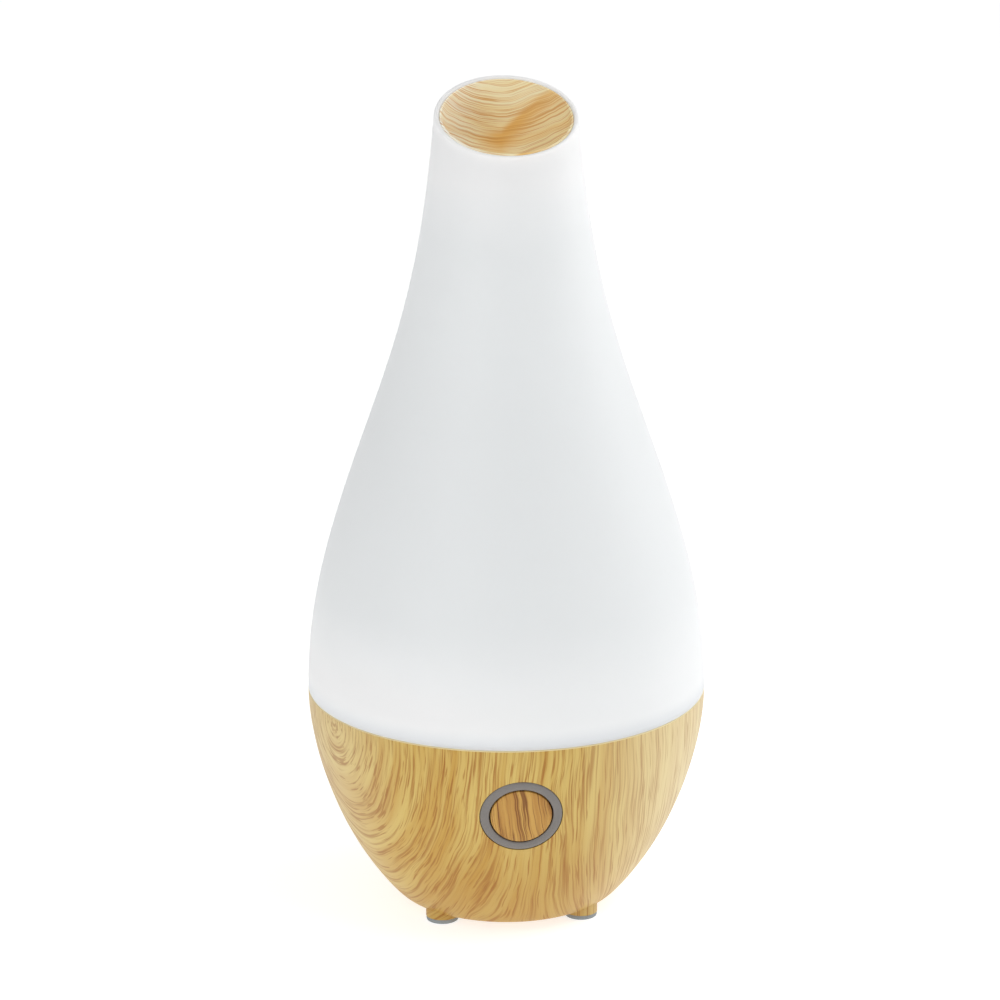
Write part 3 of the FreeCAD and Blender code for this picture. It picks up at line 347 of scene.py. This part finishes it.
def bowl_wood():
    """Print wrapped round the bowl.

    Its grain bends about a knot on the left and runs upright elsewhere. A painted sheen makes it
    paler at both sides, and a painted shade makes it deeper in colour low down in front."""
    shader = Shader("bowl_wood_print")
    place = shader.position()
    x, y, z = shader.split(place)
    knot_angle = math.radians(-153)
    knot_level = 56 * MM
    radius = shader.math("SQRT", shader.math("ADD", shader.math("MULTIPLY", x, x),
                                             shader.math("MULTIPLY", y, y)))
    towards = shader.math("ADD", shader.math("MULTIPLY", x, math.cos(knot_angle)),
                          shader.math("MULTIPLY", y, math.sin(knot_angle)))
    hair = 0.01 * MM                                  # keeps the division safe on the axis itself
    turn = shader.math("ARCCOSINE", shader.math("DIVIDE", towards, shader.math("ADD", radius, hair)))
    narrowing = shader.spread(turn, 0.9, 1.9, 0.25, 0.6)
    stretch = shader.spread(turn, 0.7, 1.6, 1.2, 2.2)
    girth = shader.math("SUBTRACT", BELLY, shader.math("MULTIPLY", narrowing,
                                                       shader.math("SUBTRACT", BELLY, radius)))
    side = shader.math("MULTIPLY", girth, turn)
    drop = shader.math("SUBTRACT", knot_level, z)
    squeezed = shader.math("DIVIDE", drop, stretch)
    reach = shader.math("SQRT", shader.math("ADD", shader.math("MULTIPLY", side, side),
                                            shader.math("MULTIPLY", squeezed, squeezed)))
    across = swayed(shader, reach, place, broad=5 * MM, broad_size=28 * MM, fine=0.35 * MM,
                    fine_size=5 * MM)
    bend = shader.math("ARCTAN2", squeezed, side)
    along = shader.math("ADD", drop, shader.math("MULTIPLY", bend, 25 * MM))
    # painted shade: darker and deeper in colour low down in front, fading towards the sides
    deep = shader.math("MULTIPLY", shader.spread(z, 12 * MM, 42 * MM, 0.45, 0.0),
                       shader.spread(shader.math("ABSOLUTE", x), 12 * MM, 34 * MM, 1.0, 0.2))
    # painted sheen: paler towards both sides, most on the right, and its lines paler too
    pale = shader.math("MAXIMUM", shader.spread(x, 8 * MM, 44 * MM, 0.0, 0.7),
                       shader.spread(x, -46 * MM, -26 * MM, 0.35, 0.0))
    cream, gold = (shader.mix(pale, shader.mix(deep, tone, WOOD_PAINTED_SHADE), WOOD_PAINTED_SHEEN)
                   for tone in (WOOD_CREAM, WOOD_GOLD))
    line = shader.mix(shader.math("MULTIPLY", pale, 0.5), WOOD_LINE, WOOD_PAINTED_SHEEN)
    shown, grooves = wood_colour(shader, across, along, cream, gold, line)
    rim = shader.spread(z, BOWL_TOP - 0.35 * MM, BOWL_TOP - 0.25 * MM)
    shown = shader.mix(rim, shown, RIM_CREAM)
    return wood_finish(shader, shown, grooves)


def cap_wood():
    """Darker print on the button's cap, with its grain leaning a little."""
    shader = Shader("cap_wood_print")
    place = shader.position()
    x, _, z = shader.split(place)
    lean = math.radians(8)
    fineness = 1.35
    across = shader.math("ADD", shader.math("MULTIPLY", x, math.cos(lean)),
                         shader.math("MULTIPLY", z, math.sin(lean)))
    along = shader.math("SUBTRACT", shader.math("MULTIPLY", z, math.cos(lean)),
                        shader.math("MULTIPLY", x, math.sin(lean)))
    across = swayed(shader, across, place, broad=1.6 * MM, broad_size=8 * MM, fine=0.3 * MM,
                    fine_size=3 * MM)
    across = shader.math("MULTIPLY", across, fineness)
    shown, grooves = wood_colour(shader, across, along, colour(200, 156, 76), colour(168, 114, 40),
                                 colour(118, 68, 12), 1.2)
    return wood_finish(shader, shown, grooves)


def funnel_wood():
    """Print inside the mouth. Its grain sags towards the throat.

    It has a painted shadow, deeper in colour, low on the right, and painted light makes it paler on the
    left."""
    shader = Shader("funnel_wood_print")
    place = shader.position()
    x, y, z = shader.split(place)
    curvature = 22.0
    tilt = 0.25
    fineness = 1.7
    painted_shadow_level = 197.5 * MM
    sag = shader.math("MULTIPLY", shader.math("MULTIPLY", x, x), curvature)
    across = shader.math("SUBTRACT", shader.math("ADD", z, shader.math("MULTIPLY", y, tilt)), sag)
    across = swayed(shader, across, place, broad=2.6 * MM, broad_size=10 * MM, fine=0.3 * MM,
                    fine_size=3 * MM)
    across = shader.math("MULTIPLY", across, fineness)
    # painted shadow: a deeper, more orange patch below an edge that rises to the right, fading lower down
    # and gone on the left
    edge = shader.math("ADD", painted_shadow_level, shader.math("MAXIMUM", x, 0.0))
    below = shader.math("SUBTRACT", edge, z)
    deep = shader.math("MULTIPLY", shader.spread(below, -1.2 * MM, 1.6 * MM),
                       shader.spread(below, 2 * MM, 9 * MM, 0.8, 0.1))
    deep = shader.math("MULTIPLY", deep, shader.spread(x, -8 * MM, 0.0))
    deep = shader.math("MULTIPLY", deep, shader.spread(x, 4 * MM, 14 * MM, 1.0, 0.6))
    # painted light: paler on the left
    pale = shader.spread(x, -12 * MM, -3 * MM, 0.8, 0.0)
    cream = shader.mix(pale, colour(253, 246, 210), colour(255, 253, 242))
    gold = shader.mix(pale, colour(250, 232, 180), colour(254, 248, 222))
    # the painted shadow's colours
    cream = shader.mix(deep, cream, colour(240, 192, 98))
    gold = shader.mix(deep, gold, colour(230, 170, 68))
    shown, grooves = wood_colour(shader, across, x, cream, gold, colour(216, 158, 86))
    return wood_finish(shader, shown, grooves, 0.5)


# ---------------------------------------------------------------- plastics, rubber and metals

def frosted_plastic():
    """White translucent cover. Painted light makes it whiter over the tank's rim and over the funnel, and
    a painted shade darkens it just above its foot.
    """
    shader = Shader("frosted_cover_plastic")
    place = shader.position()
    x, _, z = shader.split(place)
    frost = shader.noise(place, scale=5200.0, detail=1.0)
    # painted light: the cover is whiter in a band low down over the tank's rim, stronger on the left, and
    # at the neck over the funnel; a noise makes the bands' edges uneven
    drift = shader.math("SUBTRACT", shader.noise(place, scale=30.0, detail=2.0), 0.5)
    cloud = shader.math("MULTIPLY", drift, 12 * MM)
    level = shader.math("ADD", z, cloud)
    foot = shader.math("MULTIPLY", shader.spread(level, 66 * MM, 88 * MM, 1.0, 0.0),
                       shader.spread(x, -30 * MM, 45 * MM, 0.75, 0.4))
    neck = shader.spread(level, 174 * MM, 200 * MM)
    tint = shader.mix(shader.math("MAXIMUM", foot, neck), colour(232, 235, 236), colour(250, 252, 253))
    # painted shade just above the cover's foot
    painted_foot_shade = shader.spread(z, COVER_FOOT, COVER_FOOT + 5 * MM, 0.6, 0.0)
    tint = shader.mix(painted_foot_shade, tint, colour(214, 218, 224))
    normal = shader.bump(frost, distance=0.01 * MM, strength=0.25)
    return shader.finish(Base_Color=tint, Roughness=0.5, Normal=normal, IOR=1.46,
                         Subsurface_Weight=1.0, Subsurface_Radius=(1.0, 1.0, 1.0),
                         Subsurface_Scale=3.0 * MM)


def speckled(name, base, spot, roughness, grain=1500.0, depth=0.02 * MM, **sockets):
    """Moulded plastic or rubber: a base colour with faint mottling and a fine texture."""
    shader = Shader(name)
    place = shader.position()
    fine = shader.noise(place, scale=grain, detail=2.0, roughness=0.6)
    coarseness = 14
    broad = shader.noise(place, scale=grain / coarseness, detail=2.0)
    blend = shader.math("ADD", shader.math("MULTIPLY", fine, 0.4), shader.math("MULTIPLY", broad, 0.6))
    shown = shader.mix(shader.spread(blend, 0.35, 0.65), base, spot)
    normal = shader.bump(fine, depth, strength=0.5)
    gloss = shader.spread(broad, 0.3, 0.7, roughness - 0.04, roughness + 0.04)
    return shader.finish(Base_Color=shown, Roughness=gloss, Normal=normal, **sockets)


def brushed(name, base, shade, roughness):
    """Metal with faint lines and small changes of tone."""
    shader = Shader(name)
    place = shader.position()
    x, y, z = shader.split(place)
    along_x = 0.15                                    # draws the lines out along X
    drawn_out = shader.join(shader.math("MULTIPLY", x, along_x), y, z)
    lines = shader.noise(drawn_out, scale=2600.0, detail=2.0)
    shown = shader.mix(shader.spread(lines, 0.3, 0.7), base, shade)
    normal = shader.bump(lines, distance=0.006 * MM, strength=0.4)
    return shader.finish(Base_Color=shown, Roughness=roughness, Metallic=1.0, Normal=normal)


def dress(node, material):
    """Give a CAD node a material."""
    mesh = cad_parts[node].data
    mesh.materials.clear()
    mesh.materials.append(material)


# ---------------------------------------------------------------- cover and funnel

def slanted_end(points, angle, level):
    """Part of a profile that lies below the mouth's slanted plane, at one angle round the axis."""
    slope = math.tan(MOUTH_TILT) * math.sin(angle)
    kept = [points[0]]
    for low, high in zip(points, points[1:]):
        gap_low = low.y - level - slope * low.x
        gap_high = high.y - level - slope * high.x
        if gap_high >= 0:
            kept.append(low.lerp(high, gap_low / (gap_low - gap_high)))
            break
        kept.append(high)
    return kept


def respaced(points, rows):
    """The same profile with a set number of evenly spaced points."""
    lengths = [0.0]
    for low, high in zip(points, points[1:]):
        lengths.append(lengths[-1] + (high - low).length)
    spaced = []
    index = 0
    for row in range(rows + 1):
        target = lengths[-1] * row / rows
        while index < len(points) - 2 and lengths[index + 1] < target:
            index += 1
        span = max(lengths[index + 1] - lengths[index], NO_LENGTH)
        share = (target - lengths[index]) / span
        spaced.append(points[index].lerp(points[index + 1], min(max(share, 0.0), 1.0)))
    return spaced


def slanted_shell(name, outer, inner, level, foot, rows):
    """Turned shell whose mouth is cut on a slant and finished with a round lip."""
    around = 192
    lip_steps = 8

    def section(angle):
        around_axis = Vector((math.cos(angle), math.sin(angle), 0))
        lip = (outer[-1].x - inner[-1].x) / 2

        def lifted(points):
            return [around_axis * p.x + UP * p.y for p in points]
        outside = lifted(respaced(slanted_end(outer, angle, level - lip), rows))
        inside = lifted(respaced(slanted_end(inner, angle, level - lip), rows))
        middle = (outside[-1] + inside[-1]) / 2
        half = (outside[-1] - inside[-1]) / 2
        brow = [middle + half * math.cos(a) + MOUTH_NORMAL * lip * math.sin(a)
                for a in (math.pi * step / lip_steps for step in range(1, lip_steps))]
        return lifted(foot) + outside[1:] + brow + inside[:0:-1]
    return swept_ring(name, section, around)


def make_cover():
    """Frosted cover with a square-cut foot and a thinner wall towards its lip."""
    outer = spline(COVER_CURVE, COVER_STEPS)
    lip_points = 2
    walls = [COVER_WALL] * (len(COVER_CURVE) - lip_points) + [COVER_LIP] * lip_points
    inner = spline(inset(COVER_CURVE, walls), COVER_STEPS)
    edge = 0.1 * MM
    foot = [Vector((BELLY - COVER_WALL, COVER_FOOT + edge)),
            Vector((BELLY - COVER_WALL + edge, COVER_FOOT)),
            Vector((BELLY - edge, COVER_FOOT)),
            Vector((BELLY - edge * BEVEL, COVER_FOOT + edge * BEVEL)),
            Vector((BELLY, COVER_FOOT + edge))]
    shell = slanted_shell("cover_shell_smooth", outer, inner, MOUTH_LEVEL, foot, rows=110)
    shell.data.materials.append(frosted_plastic())
    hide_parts("cover_shell")
    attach(shell, "cover")


def make_funnel():
    """Wood-print funnel in the mouth, whose wall thins towards its brim."""
    inner = spline(inset(FUNNEL_CURVE, FUNNEL_THINNING), FUNNEL_STEPS)
    wall = FUNNEL_WALL
    drops = (0, wall, wall, wall, 0, 0)
    outer = spline([(radius + wall, height - drop) for (radius, height), drop
                    in zip(FUNNEL_CURVE, drops)], FUNNEL_STEPS)
    tail = [Vector((FUNNEL_CURVE[0][0], FUNNEL_CURVE[0][1])),
            Vector((FUNNEL_CURVE[0][0] + wall, FUNNEL_CURVE[0][1]))]
    funnel = slanted_shell("mouth_funnel_smooth", outer, inner, FUNNEL_LEVEL, tail, rows=80)
    funnel.data.materials.append(funnel_wood())
    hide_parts("mouth_funnel")
    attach(funnel, "cover")


# ---------------------------------------------------------------- button

def face_depth(across, up, outside, proud):
    """Depth, along the button's axis, at which a line meets the bowl's surface."""
    shallow = -4 * MM
    deep = 6 * MM
    halvings = 40
    for _ in range(halvings):
        middle = (shallow + deep) / 2
        point = BUTTON_CENTRE + Vector((across, 0, 0)) + BUTTON_UP * up + BUTTON_INWARDS * middle
        if math.hypot(point.x, point.y) > radius_at(outside, point.z) + proud:
            shallow = middle
        else:
            deep = middle
    return shallow


def button_solid(name, profile, proud, closed=True):
    """Solid turned about the button's axis whose face follows the bowl's surface.

    Each point of the profile is (radius, depth, True if the depth counts from the surface)."""
    around = 96
    outside = spline(BOWL_CURVE, BOWL_STEPS)

    def section(angle):
        points = []
        for radius, depth, on_surface in profile:
            across = radius * math.cos(angle)
            up = radius * math.sin(angle)
            if on_surface:
                depth += face_depth(across, up, outside, proud)
            points.append(BUTTON_CENTRE + Vector((across, 0, 0)) + BUTTON_UP * up
                          + BUTTON_INWARDS * depth)
        return points
    return swept_ring(name, section, around, closed, sharp_angle=50)


def make_button_ring():
    """Grey ring with a rounded crown that stands a little proud of the bowl."""
    neck = 9.35 * MM
    shoulder = 2.55 * MM
    back = 5.2 * MM
    crown = 0.5 * MM
    crown_steps = 12
    band = RING_RADIUS - RING_BORE
    profile = [(RING_BORE, back, False), (neck, back, False), (neck, shoulder, False),
               (RING_RADIUS, shoulder, False)]
    for step in range(crown_steps + 1):
        angle = math.pi * step / crown_steps
        profile.append((RING_RADIUS - band * (1 - math.cos(angle)) / 2,
                        crown * (1 - math.sin(angle)), True))
    ring = button_solid("button_ring_smooth", profile, 0.2 * MM)
    ring.data.materials.append(speckled("ring_grey_plastic", colour(108, 103, 99), colour(115, 110, 106),
                                        0.38, 1800.0, Specular_IOR_Level=0.75))
    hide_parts("button_ring")
    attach(ring, "base")


def make_button_cap():
    """Cap that lies just below the bowl's surface, hollow behind, with a flange and a stem."""
    flange = 8.9 * MM
    flange_front = 5.3 * MM
    flange_back = 6.1 * MM
    hollow = 6.2 * MM
    hollow_depth = 2.2 * MM
    stem = 1.8 * MM
    stem_back = 7.0 * MM
    edge = 0.15 * MM
    profile = [(NEAR_AXIS, 0.0, True)]
    profile += [(CAP_RADIUS * share, 0.0, True) for share in (0.2, 0.4, 0.6, 0.8)]
    profile += [(CAP_RADIUS - edge, 0.0, True), (CAP_RADIUS - edge * BEVEL, edge * BEVEL, True),
                (CAP_RADIUS, edge, True), (CAP_RADIUS, flange_front, False),
                (flange, flange_front, False), (flange, flange_back, False),
                (hollow, flange_back, False), (hollow, hollow_depth, False),
                (stem, hollow_depth, False), (stem, stem_back, False), (NEAR_AXIS, stem_back, False)]
    cap = button_solid("button_cap_smooth", profile, -0.05 * MM, closed=False)
    cap.data.materials.append(cap_wood())
    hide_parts("button_cap")
    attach(cap, "button")


# ---------------------------------------------------------------- feet

def make_foot_pads():
    """Rubber pad with softened edges under each leg, its plug up in the leg."""
    rubber = speckled("foot_rubber", colour(138, 144, 148), colour(150, 156, 158), 0.75, 2200.0,
                      0.04 * MM)
    for side in ("front_left", "front_right", "rear_left", "rear_right"):
        node = f"foot_pad_{side}"
        low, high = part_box(node)
        radius = (high.x - low.x) / 2
        plug = 2.7 * MM
        centre = Matrix.Translation(((low.x + high.x) / 2, (low.y + high.y) / 2, 0))
        profile = rounded([(NEAR_AXIS, 0, 0), (radius, 0, 0.45 * MM), (radius, PAD_TOP, 0.15 * MM),
                           (plug, PAD_TOP, 0), (plug, high.z, 0.2 * MM), (NEAR_AXIS, high.z, 0)])
        pad = lathe(f"{node}_smooth", profile, around=64, matrix=centre)
        pad.data.materials.append(rubber)
        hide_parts(node)
        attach(pad, "base")


# ---------------------------------------------------------------- CAD nodes that keep their shape

def dress_nodes():
    """Give every CAD node that keeps its shape a material of its own kind."""
    white = speckled("white_plastic", colour(238, 239, 238), colour(243, 243, 242), 0.32, 900.0)
    silicone = speckled("seal_silicone", colour(226, 226, 222), colour(234, 234, 230), 0.6)
    steel = brushed("screw_steel", (0.58, 0.58, 0.59, 1), (0.48, 0.48, 0.50, 1), 0.32)
    board = speckled("circuit_board", (0.02, 0.16, 0.06, 1), (0.03, 0.21, 0.08, 1), 0.3)
    black = speckled("black_plastic", (0.012, 0.012, 0.012, 1), (0.02, 0.02, 0.02, 1), 0.45)
    sleeve = speckled("lead_sleeve", (0.015, 0.015, 0.015, 1), (0.025, 0.025, 0.025, 1), 0.55)
    nodes_by_material = {
        white: ("water_tank", "mist_guide", "transducer_clamp"),
        silicone: ("tank_gasket", "transducer_seal"),
        steel: ("case_screws", "clamp_screws", "board_screws", "fan_screws", "jack_board_screws",
                "switch_board_screws"),
        board: ("main_board", "jack_board", "switch_board"),
        black: ("fan_frame", "fan_rotor", "power_transistor", "controller_chip", "dc_jack", "switch_body"),
        sleeve: ("power_lead", "fan_lead", "led_lead", "transducer_lead", "switch_lead"),
        brushed("disc_steel", (0.62, 0.61, 0.58, 1), (0.52, 0.51, 0.49, 1), 0.25): ("transducer_plate",),
        brushed("jack_pin_metal", (0.75, 0.74, 0.72, 1), (0.68, 0.67, 0.65, 1), 0.18): ("dc_jack_pin",),
        brushed("shaft_steel", (0.6, 0.6, 0.6, 1), (0.5, 0.5, 0.5, 1), 0.25): ("fan_shaft",),
        brushed("bush_brass", (0.62, 0.45, 0.18, 1), (0.52, 0.36, 0.13, 1), 0.35): ("fan_bush",),
        brushed("stator_copper", (0.62, 0.26, 0.11, 1), (0.5, 0.2, 0.08, 1), 0.35): ("fan_stator",),
        brushed("sink_aluminium", (0.62, 0.62, 0.63, 1), (0.54, 0.54, 0.55, 1), 0.35): ("heat_sink",),
        brushed("can_aluminium", (0.66, 0.66, 0.66, 1), (0.6, 0.6, 0.6, 1), 0.3): ("capacitors",),
        speckled("piezo_ceramic", (0.7, 0.68, 0.6, 1), (0.76, 0.74, 0.66, 1), 0.4): ("piezo_element",),
        speckled("white_circuit_board", (0.8, 0.8, 0.78, 1), (0.84, 0.84, 0.82, 1), 0.3): ("led_board",),
        speckled("led_chip", (0.85, 0.75, 0.3, 1), (0.9, 0.84, 0.5, 1), 0.3): ("led_chips",),
        speckled("coil_ferrite", (0.04, 0.04, 0.04, 1), (0.06, 0.06, 0.06, 1), 0.5): ("inductor_coils",),
        speckled("magnet_ferrite", (0.05, 0.05, 0.05, 1), (0.08, 0.08, 0.08, 1), 0.5): ("rotor_magnet",),
        speckled("connector_plastic", colour(228, 222, 205), colour(234, 229, 214), 0.4):
            ("lead_connectors",),
        speckled("plunger_plastic", (0.2, 0.2, 0.2, 1), (0.25, 0.25, 0.25, 1), 0.45):
            ("switch_plunger",),
        bowl_wood(): ("base_bowl",),
    }
    for material, nodes in nodes_by_material.items():
        for node in nodes:
            dress(node, material)


# ---------------------------------------------------------------- stage

def make_floor():
    """Wide pale floor. Part of its white is its own, so that it stays even out to its edge."""
    half = 20.0
    corners = [(-half, -half, 0), (half, -half, 0), (half, half, 0), (-half, half, 0)]
    floor = mesh_piece("floor", corners, [(0, 1, 2, 3)])
    shader = Shader("pale_floor")
    floor.data.materials.append(shader.finish(
        Base_Color=(0.6, 0.6, 0.6, 1), Roughness=0.9, Emission_Color=(1, 1, 1, 1),
        Emission_Strength=0.7))


def softbox(name, azimuth, level, size, power):
    """Soft area light that stands round the object, its azimuth counted to the right of the front."""
    reach = 0.8
    turn = math.radians(azimuth)
    aim = Vector((0, 0, 110 * MM))
    light = bpy.data.lights.new(name, "AREA")
    light.shape = "RECTANGLE"
    light.size = size[0]
    light.size_y = size[1]
    light.energy = power
    lamp = bpy.data.objects.new(name, light)
    lamp.location = Vector((math.sin(turn) * reach, -math.cos(turn) * reach, level))
    lamp.rotation_euler = (aim - lamp.location).to_track_quat("-Z", "Y").to_euler()
    bpy.context.scene.collection.objects.link(lamp)


def make_lights():
    """Even pale surroundings, a soft light to the left, one to the right and one higher up."""
    world = bpy.data.worlds.new("studio")
    world.use_nodes = True
    sky = world.node_tree.nodes["Background"]
    sky.inputs["Color"].default_value = (0.985, 0.993, 1.0, 1)
    sky.inputs["Strength"].default_value = 0.45
    bpy.context.scene.world = world
    softbox("softbox_left", -41, 0.5, (0.5, 0.8), 2.0)
    softbox("softbox_right", 102, 0.5, (0.5, 0.9), 2.8)
    softbox("softbox_top", 45, 1.2, (0.5, 0.5), 3.5)


def make_camera():
    """Camera of the studio shot: long lens, a little above, a little to the left of the button."""
    aim = Vector((0, 0, 105 * MM))
    distance = 1.1
    elevation = math.radians(17.26)
    swing = math.radians(4.5)
    back = Vector((-math.sin(swing) * math.cos(elevation), -math.cos(swing) * math.cos(elevation),
                   math.sin(elevation)))
    data = bpy.data.cameras.new("camera")
    data.sensor_width = 36
    data.lens = 157.07
    data.shift_x = -0.0063
    data.shift_y = 0.0031
    camera = bpy.data.objects.new("camera", data)
    camera.location = aim + back * distance
    camera.rotation_euler = (-back).to_track_quat("-Z", "Y").to_euler()
    bpy.context.scene.collection.objects.link(camera)
    bpy.context.scene.camera = camera
    bpy.context.scene.view_settings.view_transform = "Standard"


make_camera()
make_lights()
make_floor()
make_cover()
make_funnel()
make_button_ring()
make_button_cap()
make_foot_pads()
dress_nodes()
